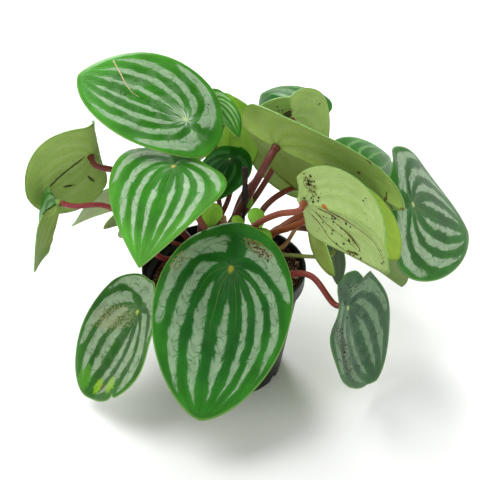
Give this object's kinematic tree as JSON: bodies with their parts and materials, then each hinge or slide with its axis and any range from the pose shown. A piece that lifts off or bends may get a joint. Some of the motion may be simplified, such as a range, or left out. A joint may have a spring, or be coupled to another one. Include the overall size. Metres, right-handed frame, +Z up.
{
  "type": "potted peperomia",
  "caption": "Rounded striped leaves on long red stalks, spreading from short stems in the soil of a small black plastic pot.",
  "frame": {"origin": "centre of the pot's flat base, on the surface the pot stands on", "axes": "+Z up; +X to the viewer's right and -Y towards the viewer in the pictured view"},
  "size_m": [0.2778, 0.2365, 0.2033],
  "materials": {
    "pot": "satin",
    "soil": "matte",
    "stem": "satin",
    "stalk": "satin",
    "blade": "satin",
    "young_leaf": "satin",
    "dry_spike": "matte"
  },
  "bodies": {
    "root": {"dry_spike": "dry_spike", "leaf_back_left": "blade", "leaf_back_low_left": "blade", "leaf_far_left": "blade", "leaf_far_right": "blade", "leaf_front": "blade", "leaf_inner": "blade", "leaf_left_back": "blade", "leaf_left_edge": "blade", "leaf_low_left": "blade", "leaf_low_right": "blade", "leaf_mid_left": "blade", "leaf_right_back": "blade", "leaf_right_big": "blade", "leaf_right_front": "blade", "leaf_right_inner": "blade", "leaf_right_low_back": "blade", "leaf_top": "blade", "leaf_top_back": "blade", "leaf_top_left": "blade", "leaf_upper_back": "blade", "old_stub": "dry_spike", "pot": "pot", "soil": "soil", "stalk_back_left": "stalk", "stalk_back_low_left": "stalk", "stalk_far_left": "stalk", "stalk_far_right": "stalk", "stalk_front": "stalk", "stalk_inner": "stalk", "stalk_left_back": "stalk", "stalk_left_edge": "stalk", "stalk_low_left": "stalk", "stalk_low_right": "stalk", "stalk_mid_left": "stalk", "stalk_right_back": "stalk", "stalk_right_big": "stalk", "stalk_right_front": "stalk", "stalk_right_inner": "stalk", "stalk_right_low_back": "stalk", "stalk_top": "stalk", "stalk_top_back": "stalk", "stalk_top_left": "stalk", "stalk_upper_back": "stalk", "stem_back": "stem", "stem_front": "stem", "stem_left": "stem", "stem_right": "stem", "young_crown_back": "young_leaf", "young_crown_left": "young_leaf", "young_crown_low": "young_leaf", "young_crown_middle": "young_leaf", "young_folded": "young_leaf", "young_left": "young_leaf", "young_right": "young_leaf", "young_right_back": "young_leaf", "young_small_right": "young_leaf"}
  },
  "joints": []
}
